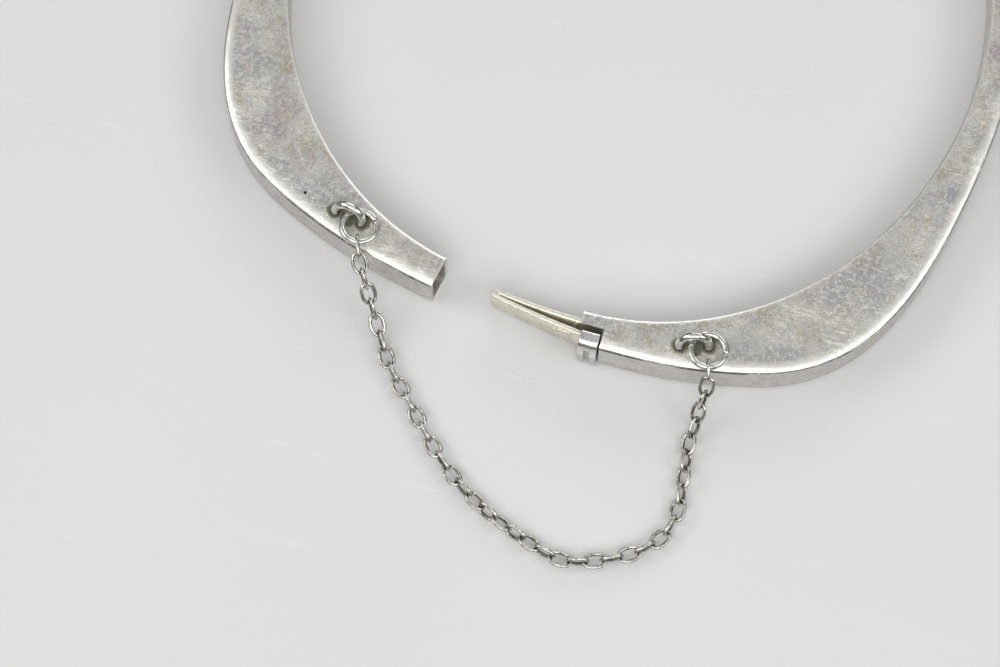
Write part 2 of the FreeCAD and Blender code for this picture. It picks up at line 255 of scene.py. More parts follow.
class Nodes:
    """A short way to write a material's nodes."""

    def __init__(self, name):
        self.material = bpy.data.materials.new(name)
        self.material.use_nodes = True
        self.tree = self.material.node_tree
        self.shader = self.tree.nodes["Principled BSDF"]
        where = self.add("ShaderNodeTexCoord")
        scaled = self.add("ShaderNodeVectorMath", operation="SCALE")
        self.tree.links.new(where.outputs["Object"], scaled.inputs[0])
        scaled.inputs["Scale"].default_value = 1 / MM
        self.place = scaled.outputs[0]

    def add(self, kind, **settings):
        node = self.tree.nodes.new(kind)
        for key, value in settings.items():
            setattr(node, key, value)
        return node

    def put(self, socket, value):
        """Links an output to a socket, or sets the socket to a number or colour."""
        if isinstance(value, bpy.types.NodeSocket):
            self.tree.links.new(value, socket)
        elif isinstance(value, (tuple, list)) and len(value) == 3 and socket.type == "RGBA":
            socket.default_value = (*value, 1)
        else:
            socket.default_value = value

    def stretched(self, scale, turn_deg=0):
        """The place on the object, turned about Z and stretched."""
        node = self.add("ShaderNodeMapping")
        self.put(node.inputs["Vector"], self.place)
        node.inputs["Scale"].default_value = scale
        node.inputs["Rotation"].default_value = (0, 0, math.radians(turn_deg))
        return node.outputs["Vector"]

    def noise(self, scale, detail=2, rough=0.5, vector=None, distortion=0):
        node = self.add("ShaderNodeTexNoise")
        self.put(node.inputs["Vector"], vector or self.place)
        node.inputs["Scale"].default_value = scale
        node.inputs["Detail"].default_value = detail
        node.inputs["Roughness"].default_value = rough
        node.inputs["Distortion"].default_value = distortion
        return node.outputs["Fac"]

    def between(self, value, low_value, high_value, smooth=True):
        """0 below the low value, 1 above the high one."""
        node = self.add("ShaderNodeMapRange")
        node.interpolation_type = "SMOOTHSTEP" if smooth else "LINEAR"
        self.put(node.inputs["Value"], value)
        node.inputs["From Min"].default_value = low_value
        node.inputs["From Max"].default_value = high_value
        return node.outputs["Result"]

    def math(self, operation, a, b=0.0):
        node = self.add("ShaderNodeMath", operation=operation)
        self.put(node.inputs[0], a)
        self.put(node.inputs[1], b)
        return node.outputs[0]

    def mix(self, share, a, b):
        """A mix of two colours, or of a colour and an output."""
        node = self.add("ShaderNodeMix", data_type="RGBA")
        self.put(node.inputs["Factor"], share)
        self.put(node.inputs[6], a)
        self.put(node.inputs[7], b)
        return node.outputs[2]

    def blend(self, share, a, b):
        """A mix of two numbers."""
        node = self.add("ShaderNodeMix", data_type="FLOAT")
        self.put(node.inputs["Factor"], share)
        self.put(node.inputs[2], a)
        self.put(node.inputs[3], b)
        return node.outputs[0]

    def painted(self, name):
        """What paint() stored on the mesh."""
        node = self.add("ShaderNodeAttribute", attribute_name=name)
        return node.outputs["Fac"]

    def height(self):
        """How high the place is, in millimetres."""
        node = self.add("ShaderNodeSeparateXYZ")
        self.put(node.inputs[0], self.place)
        return node.outputs["Z"]

    def near(self, point, inner, outer):
        """1 within the inner distance of a point, 0 beyond the outer one."""
        node = self.add("ShaderNodeVectorMath", operation="DISTANCE")
        self.put(node.inputs[0], self.place)
        node.inputs[1].default_value = point
        return self.math("SUBTRACT", 1.0, self.between(node.outputs["Value"], inner, outer))

    def scratches(self, turn_deg, thin, long, amount):
        """Fine lines in one direction: 1 on a line."""
        vector = self.stretched((long, thin, 1), turn_deg)
        wobble = self.noise(1.0, 1, 0.5, vector, 0.25)
        away = self.math("ABSOLUTE", self.math("SUBTRACT", wobble, 0.5))
        line = self.math("SUBTRACT", 1.0, self.between(away, 0.0, amount))
        where = self.between(self.noise(0.35, 2, 0.5, self.stretched((1, 1, 1), turn_deg * 2)), 0.5, 0.62)
        return self.math("MULTIPLY", line, where)

    def bump(self, height, strength, distance, normal=None):
        node = self.add("ShaderNodeBump")
        node.inputs["Strength"].default_value = strength
        node.inputs["Distance"].default_value = distance * MM
        self.put(node.inputs["Height"], height)
        if normal:
            self.put(node.inputs["Normal"], normal)
        return node.outputs["Normal"]

    def finish(self, color, roughness, normal, metallic=1.0):
        self.put(self.shader.inputs["Base Color"], color)
        self.put(self.shader.inputs["Roughness"], roughness)
        self.put(self.shader.inputs["Normal"], normal)
        self.put(self.shader.inputs["Metallic"], metallic)
        return self.material


BRIGHT = (0.92, 0.90, 0.845)
SILVER = (0.79, 0.765, 0.705)
WARM = (0.60, 0.53, 0.39)
BLUE = (0.47, 0.475, 0.49)
MAUVE = (0.57, 0.50, 0.51)
DARK = (0.13, 0.125, 0.10)
GREEN = (0.15, 0.17, 0.11)


def plate_silver(name, feet, pits):
    """Old silver sheet: mottled patina, speckle, scratches, edges rubbed bright with a painted highlight along
    them, tarnish round the staple's feet with a painted shadow under its arch, and painted shade on the rim's low
    side by the seam.
    """
    n = Nodes(name)
    cloud = n.noise(0.22, 3, 0.55)
    patch = n.noise(0.45, 4, 0.6, n.stretched((1, 1, 1), 40))
    speck = n.noise(2.6, 3, 0.65)
    grain = n.noise(6.5, 2, 0.6)
    color = n.mix(n.between(cloud, 0.42, 0.62), SILVER, BLUE)
    color = n.mix(n.between(patch, 0.50, 0.68), color, WARM)
    color = n.mix(n.between(n.noise(0.3, 3, 0.5, n.stretched((1, 1, 1), 75)), 0.52, 0.66), color, MAUVE)
    color = n.mix(n.math("MULTIPLY", n.between(speck, 0.44, 0.62), 0.75), color, BRIGHT)
    color = n.mix(n.math("MULTIPLY", n.between(grain, 0.50, 0.66), 0.6), color, (0.38, 0.37, 0.36))
    lines = n.scratches(12, 9, 0.35, 0.012)
    for turn, thin, long in ((-38, 7, 0.4), (63, 8, 0.5), (108, 6, 0.3)):
        lines = n.math("MAXIMUM", lines, n.scratches(turn, thin, long, 0.012))
    edge = n.painted("edge")
    # Worn edges rubbed bright, plus a painted highlight along the outer rim and the inner bevel.
    worn_and_highlight = n.between(n.math("ADD", edge, n.math("MULTIPLY", speck, 0.25)), 0.35, 0.85)
    color = n.mix(n.math("MULTIPLY", lines, 0.6), color, BRIGHT)
    color = n.mix(worn_and_highlight, color, BRIGHT)
    # Tarnish round the staple's feet, and a painted shadow under its arch.
    stain_and_shadow_noise = n.math("MULTIPLY", n.noise(1.6, 4, 0.65), 1.0)
    stain_and_shadow = 0.0
    for point, inner, outer in feet:
        stain_and_shadow = n.math("MAXIMUM", stain_and_shadow, n.near(point, inner, outer))
    ragged = n.between(n.math("ADD", stain_and_shadow, n.math("SUBTRACT", stain_and_shadow_noise, 0.5)), 0.32, 0.72)
    tint = n.mix(n.between(n.noise(3.0, 2), 0.42, 0.6), DARK, GREEN)
    color = n.mix(n.math("MULTIPLY", n.between(stain_and_shadow, 0.0, 0.7), 0.5), color, WARM)
    color = n.mix(n.math("MULTIPLY", ragged, 0.85), color, tint)
    pit = 0.0
    for point, size in pits:
        pit = n.math("MAXIMUM", pit, n.near(point, size * 0.6, size * 1.3))
    color = n.mix(pit, color, (0.02, 0.02, 0.018))
    # Painted shade: the low side of the rounded rim is darkened beside the seam.
    seam_shade = n.math("MULTIPLY", n.painted("seam_shade"), n.between(n.math("ADD", speck, cloud), 0.75, 1.05))
    color = n.mix(n.math("MULTIPLY", seam_shade, 0.85), color, (0.10, 0.095, 0.08))
    roughness = n.blend(n.between(cloud, 0.35, 0.65), 0.36, 0.46)
    roughness = n.blend(n.math("MULTIPLY", n.between(speck, 0.4, 0.6), 0.5), roughness, 0.30)
    roughness = n.blend(worn_and_highlight, roughness, 0.30)
    roughness = n.blend(ragged, roughness, 0.6)
    normal = n.bump(n.noise(0.5, 2), 0.35, 0.10)
    normal = n.bump(speck, 0.30, 0.03, normal)
    normal = n.bump(grain, 0.25, 0.012, normal)
    normal = n.bump(lines, 0.5, -0.008, normal)
    normal = n.bump(ragged, 0.6, 0.03, normal)
    normal = n.bump(pit, 1.0, -0.12, normal)
    return n.finish(color, roughness, normal)


def wall_silver(name, seam_shade_z, seam_shade_way):
    """Softly brushed silver with a dark line beside the plate: a solder seam, widened into painted shade below the
    plate's rounded rim.
    """
    n = Nodes(name)
    speck = n.noise(3.0, 3, 0.6)
    cloud = n.noise(0.5, 3, 0.6)
    brushed = n.noise(1.0, 3, 0.6, n.stretched((0.8, 0.8, 14)))
    color = n.mix(n.between(cloud, 0.4, 0.65), (0.60, 0.58, 0.55), (0.53, 0.49, 0.47))
    color = n.mix(n.math("MULTIPLY", n.between(speck, 0.42, 0.62), 0.35), color, BRIGHT)
    color = n.mix(n.math("MULTIPLY", n.between(brushed, 0.55, 0.75), 0.25), color, WARM)
    gone = n.between(n.noise(0.16, 2, 0.5), 0.42, 0.58)
    # The dark line at the wall's top: a solder seam widened into painted shade below the plate's rounded rim.
    level = n.math("MULTIPLY", n.math("SUBTRACT", n.height(), seam_shade_z), seam_shade_way)
    line = n.math("SUBTRACT", 1.0, n.between(level, 0.1, 0.45))
    line = n.math("MULTIPLY", line, n.between(n.math("ADD", speck, gone), 0.55, 1.1))
    color = n.mix(line, color, (0.07, 0.07, 0.055))
    roughness = n.blend(cloud, 0.30, 0.46)
    roughness = n.blend(line, roughness, 0.7)
    normal = n.bump(cloud, 0.4, 0.08)
    normal = n.bump(speck, 0.3, 0.02, normal)
    normal = n.bump(brushed, 0.3, 0.010, normal)
    return n.finish(color, roughness, normal)


def wire_silver(name, feet_z=None):
    """Thick bright wire, worn smooth, with faint streaks and tarnish low down."""
    n = Nodes(name)
    speck = n.noise(3.2, 3, 0.6)
    streak = n.noise(1.6, 3, 0.55, n.stretched((1, 1, 2.4), 20))
    color = n.mix(n.between(streak, 0.45, 0.66), (0.80, 0.79, 0.75), (0.50, 0.49, 0.45))
    color = n.mix(n.math("MULTIPLY", n.between(speck, 0.55, 0.72), 0.5), color, (0.40, 0.39, 0.34))
    roughness = n.blend(n.between(speck, 0.35, 0.65), 0.16, 0.28)
    if feet_z is not None:
        lowly = n.math("SUBTRACT", 1.0, n.between(n.height(), feet_z, feet_z + 0.42))
        ragged = n.between(n.math("ADD", lowly, n.math("SUBTRACT", speck, 0.5)), 0.35, 0.8)
        color = n.mix(n.math("MULTIPLY", ragged, 0.9), color, DARK)
        roughness = n.blend(ragged, roughness, 0.6)
    normal = n.bump(n.noise(0.7, 2), 0.3, 0.04)
    normal = n.bump(speck, 0.2, 0.008, normal)
    return n.finish(color, roughness, normal)


def chain_silver(name):
    """Thin oxidised wire: dark and greenish in the links' hollows, bright outside."""
    n = Nodes(name)
    speck = n.noise(5.0, 3, 0.6)
    recess = n.painted("recess")
    uneven = n.math("MULTIPLY", n.math("SUBTRACT", speck, 0.5), 0.9)
    dark = n.between(n.math("ADD", recess, uneven), 0.30, 0.62)
    shade_color = n.mix(n.between(n.noise(1.3, 2), 0.4, 0.6), (0.075, 0.085, 0.06), (0.17, 0.17, 0.13))
    light = n.mix(n.between(speck, 0.4, 0.62), (0.76, 0.74, 0.69), (0.42, 0.41, 0.36))
    color = n.mix(dark, light, shade_color)
    roughness = n.blend(dark, 0.26, 0.5)
    normal = n.bump(speck, 0.4, 0.012)
    return n.finish(color, roughness, normal)


def clasp_silver(name):
    """Rough, slightly yellow silver, as filed and soldered."""
    n = Nodes(name)
    speck = n.noise(3.4, 4, 0.7)
    patch = n.noise(0.9, 3, 0.6)
    edge = n.painted("edge")
    color = n.mix(n.between(patch, 0.42, 0.62), (0.82, 0.79, 0.70), (0.74, 0.69, 0.55))
    color = n.mix(n.between(speck, 0.52, 0.72), color, (0.36, 0.33, 0.25))
    color = n.mix(n.math("MULTIPLY", n.between(n.noise(7.0, 2), 0.55, 0.7), 0.8), color, BRIGHT)
    color = n.mix(n.math("MULTIPLY", edge, 0.65), color, (0.95, 0.92, 0.82))
    roughness = n.blend(n.between(speck, 0.4, 0.65), 0.34, 0.55)
    normal = n.bump(patch, 0.6, 0.06)
    normal = n.bump(speck, 0.7, 0.035, normal)
    return n.finish(color, roughness, normal)


def polished_silver(name):
    """Silver kept bright by use."""
    n = Nodes(name)
    speck = n.noise(3.0, 3, 0.6)
    cloud = n.noise(0.8, 2)
    color = n.mix(n.between(cloud, 0.4, 0.65), (0.84, 0.83, 0.805), (0.68, 0.665, 0.64))
    color = n.mix(n.math("MULTIPLY", n.between(speck, 0.55, 0.72), 0.4), color, (0.45, 0.43, 0.38))
    roughness = n.blend(n.between(speck, 0.4, 0.65), 0.20, 0.34)
    normal = n.bump(cloud, 0.4, 0.06)
    normal = n.bump(speck, 0.3, 0.014, normal)
    return n.finish(color, roughness, normal)


def floor_material():
    """A smooth pale grey sheet with faint marks."""
    n = Nodes("pale_sheet")
    cloud = n.noise(0.02, 2)
    color = n.mix(cloud, (0.685, 0.69, 0.695), (0.725, 0.725, 0.725))
    marks = n.scratches(25, 0.8, 0.02, 0.004)
    color = n.mix(n.math("MULTIPLY", marks, 0.25), color, (0.85, 0.85, 0.86))
    roughness = n.blend(cloud, 0.28, 0.34)
    normal = n.bump(n.noise(0.05, 2), 0.03, 0.05)
    return n.finish(color, roughness, normal, 0.0)


# ---- the band ------------------------------------------------------------------------------------


def cubic(xs, ys):
    """A natural cubic spline through points, as a function."""
    count = len(xs)
    gap = np.diff(xs)
    matrix = np.eye(count)
    right = np.zeros(count)
    for i in range(1, count - 1):
        matrix[i, i - 1 : i + 2] = gap[i - 1], 2 * (gap[i - 1] + gap[i]), gap[i]
        right[i] = 6 * ((ys[i + 1] - ys[i]) / gap[i] - (ys[i] - ys[i - 1]) / gap[i - 1])
    bend = np.linalg.solve(matrix, right)

    def value(x):
        i = np.clip(np.searchsorted(xs, x) - 1, 0, count - 2)
        after = x - xs[i]
        before = xs[i + 1] - x
        curved = (bend[i] * before**3 + bend[i + 1] * after**3) / (6 * gap[i])
        start = (ys[i] / gap[i] - bend[i] * gap[i] / 6) * before
        end = (ys[i + 1] / gap[i] - bend[i + 1] * gap[i] / 6) * after
        return curved + start + end

    return value


def outer_radius_of():
    """The outer outline of the closed arm on +X, as its radius at an angle about the origin."""
    points = moved(node_points("receiver_arm_top_plate"), RECEIVER.inverted())
    rim = points[points[:, 2] < points[:, 2].min() + 0.001]
    x, y = rim[:, 0], rim[:, 1]
    outside = np.hypot(x / WRIST_X, y / WRIST_Y) > 1.04
    away = np.hypot(x, y - HINGE.y) > RELIEF + 0.3
    rim = rim[outside & away & (x > END_GAP + 0.1)]
    angles = np.arctan2(rim[:, 1], rim[:, 0])
    angles, first = np.unique(angles.round(5), return_index=True)
    radii = np.hypot(rim[first, 0], rim[first, 1])
    ends = 3  # points mirrored past each end, so that the outline runs on smoothly
    angles = np.concatenate([-math.pi - angles[:ends][::-1], angles, math.pi - angles[-ends:][::-1]])
    radii = np.concatenate([radii[:ends][::-1], radii, radii[-ends:][::-1]])
    return cubic(angles, radii)


outer_radius = outer_radius_of()


def inner_radius(angle):
    """The radius of the wrist ellipse at an angle about the origin."""
    return 1 / np.hypot(np.cos(angle) / WRIST_X, np.sin(angle) / WRIST_Y)


STATIONS = 300
INNER_BEVEL = 0.55
INNER_DROP = 0.13
OUTER_RIM = 1.2
OUTER_DROP = 0.25
CROWN = 0.06
END_WEAR = 0.35  # how far the wear reaches from the clasp's end
# Where painted shade darkens the plate's rim beside the seam:
SEAM_SHADE_DEPTH = 0.17  # below the plate's face
SEAM_SHADE_WIDTH = 0.12


def station_angles():
    """Angles from the clasp end of an arm to its hinge end, evenly spaced."""
    first = -math.pi / 2 + END_GAP / outer_radius(-math.pi / 2)
    last = math.pi / 2 - END_GAP / outer_radius(math.pi / 2)
    return np.linspace(first, last, STATIONS)


def plate_profile(width):
    """Distances from the inner edge, and how far the plate's face lies below its middle there."""
    inner = INNER_BEVEL * (1 - np.cos(np.linspace(0, math.pi / 2, 7)))
    outer = width - OUTER_RIM * (1 - np.cos(np.linspace(math.pi / 2, 0, 12)))
    middle = np.linspace(inner[-1], outer[0], 12)[1:-1]
    across = np.concatenate([inner, middle, outer])
    from_inner = np.clip(1 - across / INNER_BEVEL, 0, 1)
    from_outer = np.clip(1 - (width - across) / OUTER_RIM, 0, 1)
    drop = INNER_DROP * (1 - np.sqrt(1 - from_inner**2))
    drop += OUTER_DROP * (1 - np.sqrt(1 - from_outer**2))
    drop += CROWN * (2 * across / width - 1) ** 2
    return across, drop


def plate(name, face_z, back_z):
    """One arm's top or bottom plate, closed on +X, with a bevelled inner edge and a rounded rim."""
    way = math.copysign(1, face_z - back_z)
    sections = []
    for angle in station_angles():
        start = inner_radius(angle)
        across, drop = plate_profile(outer_radius(angle) - start)
        radius = np.concatenate([start + across, start + across[::-1]])
        z = np.concatenate([face_z - way * drop, np.full(len(across), back_z)])
        sections.append(np.column_stack([radius * math.cos(angle), radius * math.sin(angle), z]))
    return loft(name, sections, 50)


def wall(name, outside, z):
    """One arm's outer or inner wall, closed on +X."""
    levels = np.linspace(*z, 9)
    sections = []
    for angle in station_angles():
        near = outer_radius(angle) - SHEET if outside else inner_radius(angle)
        far = near + SHEET
        radius = np.concatenate([np.full(9, near), np.full(9, far)])
        height = np.concatenate([levels, levels[::-1]])
        sections.append(np.column_stack([radius * math.cos(angle), radius * math.sin(angle), height]))
    return loft(name, sections)


def edge_wear_highlight_and_seam_shade(piece):
    """Paints how close each vertex of a closed arm's plate is to its worn edges, which also carry a painted
    highlight, and marks the rim's low side by the seam for painted shade.
    """
    points = vertex_array(piece)
    angle = np.arctan2(points[:, 1], np.maximum(points[:, 0], 0.01))
    radius = np.hypot(points[:, 0], points[:, 1])
    to_outer = outer_radius(angle) - radius
    to_inner = radius - inner_radius(angle)
    # Rubbed-bright edges and a painted highlight near the rim and the inner bevel; the clasp end's wear is real.
    worn_and_highlight = np.clip(1 - to_outer / (OUTER_RIM * 1.2), 0, 1)
    worn_and_highlight = np.maximum(worn_and_highlight, 0.8 * np.clip(1 - to_inner / INNER_BEVEL, 0, 1))
    to_end = points[:, 0] - END_GAP
    end_wear = 0.75 * np.clip(1 - to_end / END_WEAR, 0, 1)
    worn_and_highlight = np.maximum(worn_and_highlight, np.where(points[:, 1] < 0, end_wear, 0))
    paint(piece, "edge", worn_and_highlight)
    # Marks the low side of the outer rim, where painted shade darkens it by the seam.
    middle = abs(points[:, 2] - HEIGHT / 2)
    near_seam_shade = np.clip((HEIGHT / 2 - middle - SEAM_SHADE_DEPTH) / SEAM_SHADE_WIDTH, 0, 1) * (to_outer < SEAM_SHADE_WIDTH)
    paint(piece, "seam_shade", near_seam_shade)


NOTCH_X = high("tongue_arm_end_plate").x - SHEET
NOTCH_Y = high("thumbpiece").y + 0.42  # room behind the thumbpiece


def band(arm, receiver, materials):
    """The four sheets of one arm."""
    pieces = {
        "top_plate": plate(f"{arm}_top_plate_skin", HEIGHT, HEIGHT - SHEET),
        "bottom_plate": plate(f"{arm}_bottom_plate_skin", 0, SHEET),
        "outer_wall": wall(f"{arm}_outer_wall_skin", True, (SHEET, HEIGHT - SHEET)),
        "inner_wall": wall(f"{arm}_inner_wall_skin", False, (SHEET, HEIGHT - SHEET)),
    }
    for key, piece in pieces.items():
        cutter = post("cutter", (HINGE.x, HINGE.y), [(RELIEF, -BEYOND), (RELIEF, HEIGHT + BEYOND)])
        combine(piece, cutter, "DIFFERENCE")
        if not receiver and key != "inner_wall":
            notch = ((-BEYOND, NOTCH_X), (-FAR, NOTCH_Y), (-BEYOND, HEIGHT + BEYOND))
            cutter = box_piece("cutter", *notch)
            combine(piece, cutter, "DIFFERENCE")
        edge_wear_highlight_and_seam_shade(piece)
        if receiver:
            transform(piece, RECEIVER)
        place(piece, f"{arm}_{key}", materials[key])


# ---- hinge ---------------------------------------------------------------------------------------


KNUCKLE_GAP = 0.05
KNUCKLE_LIP = 0.09
KNUCKLE_SIDES = 72
STRAP_X = (PIN + 0.5, RELIEF + 0.9)
STRAP_Y = (HINGE.y - 0.6, HINGE.y + 0.35)


def knuckle(name, start, end):
    """A tube round the pin with worn lips, from one height to another."""
    lip = KNUCKLE_LIP
    profile = [
        (PIN, start), (KNUCKLE - lip, start),
        (KNUCKLE - lip * 0.3, start + lip * 0.3), (KNUCKLE, start + lip),
        (KNUCKLE, end - lip), (KNUCKLE - lip * 0.3, end - lip * 0.3),
        (KNUCKLE - lip, end), (PIN, end),
    ]
    radii, heights = np.array(profile).T
    sections = []
    for a in np.linspace(0, math.tau, KNUCKLE_SIDES, endpoint=False):
        sections.append(np.column_stack([HINGE.x + np.cos(a) * radii, HINGE.y + np.sin(a) * radii, heights]))
    return loft(name, sections, 50, closed=True)


def hinge_half(node, name, material):
    """The knuckles of one arm, each with a short strap towards the arm."""
    if node.startswith("tongue"):
        other = "receiver_arm_hinge_knuckle"
        spans = [(0.0, low(other).z - KNUCKLE_GAP), (high(other).z + KNUCKLE_GAP, HEIGHT)]
        strap = box_piece("strap", STRAP_X, STRAP_Y, (SHEET, HEIGHT - SHEET))
        gap = box_piece("gap", (0, RELIEF), (HINGE.y - 2, HINGE.y + 2), (spans[0][1], spans[1][0]))
        combine(strap, gap, "DIFFERENCE")
    else:
        points = node_points(node)
        about = points[np.hypot(points[:, 0] - HINGE.x, points[:, 1] - HINGE.y) < KNUCKLE + 0.01]
        levels = about[:, 2].round(2)
        spans = [(levels.min(), levels.max())]
        strap = transform(box_piece("strap", STRAP_X, STRAP_Y, spans[0]), RECEIVER)
    piece = knuckle(name, *spans[0])
    for span in spans[1:]:
        combine(piece, knuckle(name, *span), "UNION", 50)
    combine(piece, strap, "UNION", 50)
    return place(piece, node, material)


def pin(material):
    """The hinge pin, with its ends peened over."""
    centre = (HINGE.x, HINGE.y)
    dome = 0.10
    profile = [(PIN * 0.35, 0.0), (PIN * 0.8, 0.02), (PIN * 0.985, dome)]
    profile += [(PIN * 0.985, HEIGHT - dome), (PIN * 0.8, HEIGHT - 0.02), (PIN * 0.35, HEIGHT)]
    piece = post("hinge_pin_turned", centre, profile, 48)
    return place(piece, "hinge_pin", material)


# ---- clasp ---------------------------------------------------------------------------------------


def strip(name, inner, outer, z, ragged, seed):
    """An upright strip between two lines in plan, with filed, slightly ragged top and bottom edges."""
    sections = []
    count = len(inner)
    for i in range(count):
        a, b = np.array(inner[i]), np.array(outer[i])
        wave = ragged * noise.noise(Vector((i * 0.35, seed, 0)))
        grit = 0.5 * ragged * noise.noise(Vector((i * 1.7, seed, 3)))
        low_z, high_z = z[0] - wave * 0.5, z[1] + wave + grit - ragged
        soft = 0.07
        loop = []
        for share, drop in ((0.0, 1.0), (0.08, 0.35), (0.3, 0.0), (0.7, 0.0), (0.92, 0.35), (1.0, 1.0)):
            loop.append((*(a + (b - a) * share), high_z - soft * drop))
        for share, drop in ((1.0, 1.0), (0.7, 0.0), (0.3, 0.0), (0.0, 1.0)):
            loop.append((*(a + (b - a) * share), low_z + soft * drop))
        sections.append(np.array(loop))
    return loft(name, sections, 60)


def about_pin(radius, x):
    """The point at x on a circle about the hinge pin, on the clasp side."""
    return np.array([x, HINGE.y - math.sqrt(radius**2 - x**2)])


def leaf_radii(node, x_range):
    """The inner and outer radius about the pin of a CAD leaf, near some x."""
    points = node_points(node)
    near = points[(points[:, 0] >= x_range[0]) & (points[:, 0] <= x_range[1])]
    radii = np.hypot(near[:, 0] - HINGE.x, near[:, 1] - HINGE.y)
    return radii.min(), radii.max()


LEAF = 0.33  # strip thickness
LEAF_SWELL = 0.14  # how much thicker the fixed strip looks at its root
SPRING_SWELL = 0.10
LEAF_STEPS = 60
TIP_X = -7.25
TIP_OPENING = 0.38  # from the fixed strip's inner face to the spring strip's, at the fold
WORN_LIP = 0.07
LUG_X = (-1.95, -0.55)
BROW = 0.85  # rounding of the thumbpiece's front
GROOVE_HALF_WIDTH = 0.21
GROOVE_DEPTH = 0.34
GROOVE_BELOW_TOP = 0.85


def paint_top(piece, top):
    """Marks the worn top edge of a strip."""
    paint(piece, "edge", np.clip((vertex_array(piece)[:, 2] - top + 0.25) / 0.2, 0, 1))


def fixed_strip(radius, z, material):
    """The strip on the wrist's side, with the fold at its tip and solder at its root."""
    xs = np.linspace(TIP_X, END_GAP, LEAF_STEPS)
    near = [about_pin(radius, x) for x in xs]
    far = [about_pin(radius + LEAF + LEAF_SWELL * (x - xs[0]) / (xs[-1] - xs[0]), x) for x in xs]
    piece = strip("tongue_fixed_leaf_strip", near, far, z, 0.05, 1.0)
    fold_radius = (TIP_OPENING + LEAF) / 2
    centre = about_pin(radius + fold_radius, TIP_X)
    fold = post("fold", centre, [
        (fold_radius - WORN_LIP, z[0]),
        (fold_radius, z[0] + WORN_LIP),
        (fold_radius, z[1] - WORN_LIP - 0.05),
        (fold_radius - WORN_LIP * 0.4, z[1] - 0.06),
        (fold_radius - WORN_LIP * 1.4, z[1] - 0.04),
    ], 40)
    hollow = post("hollow", centre + np.array([0.16, 0.0]), [(0.045, -BEYOND), (0.045, 6)], 16)
    combine(fold, hollow, "DIFFERENCE", 60)
    combine(piece, fold, "UNION", 60)
    solder = post("solder", about_pin(radius + 0.30, -0.26), [
        (0.20, z[0] + 0.3),
        (0.30, z[0] + 0.6),
        (0.30, z[1] - 0.3),
        (0.22, z[1] - 0.08),
        (0.08, z[1]),
    ], 24)
    combine(piece, solder, "UNION", 60)
    paint_top(piece, z[1])
    return place(piece, "tongue_fixed_leaf", material)


def spring_strip(tip_radius, base_radius, z, material):
    """The strip on the outer side, which spreads away from the other, with a lug by the thumbpiece."""
    xs = np.linspace(TIP_X, high("tongue_spring_leaf").x, LEAF_STEPS)
    share = (xs - xs[0]) / (xs[-1] - xs[0])
    radii = tip_radius + (base_radius - tip_radius) * (0.75 * share + 0.25 * share**2)
    near = [about_pin(r, x) for r, x in zip(radii, xs)]
    far = [about_pin(r + LEAF + SPRING_SWELL * t, x) for r, x, t in zip(radii, xs, share)]
    piece = strip("tongue_spring_leaf_strip", near, far, z, 0.06, 7.0)
    lug_radius = base_radius + LEAF - 0.12
    lug_xs = np.linspace(*LUG_X, 8)
    inner = [about_pin(lug_radius - 0.1, x) for x in lug_xs]
    outer = [about_pin(lug_radius + 0.22, x) for x in lug_xs]
    lug = strip("lug", inner, outer, (z[0] + 0.5, z[1] - 0.25), 0.05, 4.0)
    combine(piece, lug, "UNION", 60)
    paint_top(piece, z[1])
    return place(piece, "tongue_spring_leaf", material)


def thumb_cap(material):
    """The thumbpiece: a block with a rounded brow and an upright groove in its front."""
    corner, far_corner = low("thumbpiece"), high("thumbpiece")
    floor_z, top = corner.z, far_corner.z
    front, back = corner.y, far_corner.y
    outline = [(front + 0.05, floor_z), (front, floor_z + 0.1), (front, top - BROW)]
    for step in range(1, 9):
        a = math.radians(90 * step / 8)
        outline.append((front + BROW * (1 - math.cos(a)), top - BROW * (1 - math.sin(a))))
    outline += [(back - 0.25, top - 0.02), (back - 0.06, top - 0.08), (back, top - 0.2), (back, floor_z)]
    sections = []
    for x in np.linspace(corner.x, far_corner.x, 5):
        sections.append(np.array([(x, y, level) for y, level in outline]))
    piece = loft("thumbpiece_cap", sections, 30)
    middle = (corner.x + far_corner.x) / 2
    groove_x = (middle - GROOVE_HALF_WIDTH, middle + GROOVE_HALF_WIDTH)
    groove_z = (-BEYOND, top - GROOVE_BELOW_TOP)
    groove = box_piece("groove", groove_x, (front - BEYOND, front + GROOVE_DEPTH), groove_z)
    combine(piece, groove, "DIFFERENCE", 30)
    bevel(piece, 0.09, 3, 40)
    return place(piece, "thumbpiece", material)


def tongue(material, thumb_material):
    """The folded tongue's two strips and the thumbpiece."""
    z = (low("tongue_fixed_leaf").z, high("tongue_fixed_leaf").z)
    fixed_radius = leaf_radii("tongue_fixed_leaf", (-1.0, 1.0))[0]
    base_radius = leaf_radii("tongue_spring_leaf", (-0.5, 1.0))[0]
    fixed_strip(fixed_radius, z, material)
    spring_strip(fixed_radius + TIP_OPENING, base_radius, z, material)
    thumb_cap(thumb_material)


# ---- staples, rings and chain --------------------------------------------------------------------


def principal(node):
    """The middle of a CAD node's surface and its axes, longest spread first."""
    mesh = frame["nodes"][node].data
    centres = np.array([p.center for p in mesh.polygons]) / MM
    areas = np.array([p.area for p in mesh.polygons])
    middle = (centres * areas[:, None]).sum(0) / areas.sum()
    away = centres - middle
    spread = (away * areas[:, None]).T @ away
    axes = np.linalg.eigh(spread)[1]
    return middle, axes[:, ::-1].T


STAPLE_WIRE = 0.36  # radius of the CAD staple's wire
STAPLE_WORN = 0.35  # the same, a little worn
STAPLE_ROOT = 0.28  # how far the legs go into the plate
FLARE = 0.10  # how much the solder widens a leg
FLARE_HEIGHT = 0.16


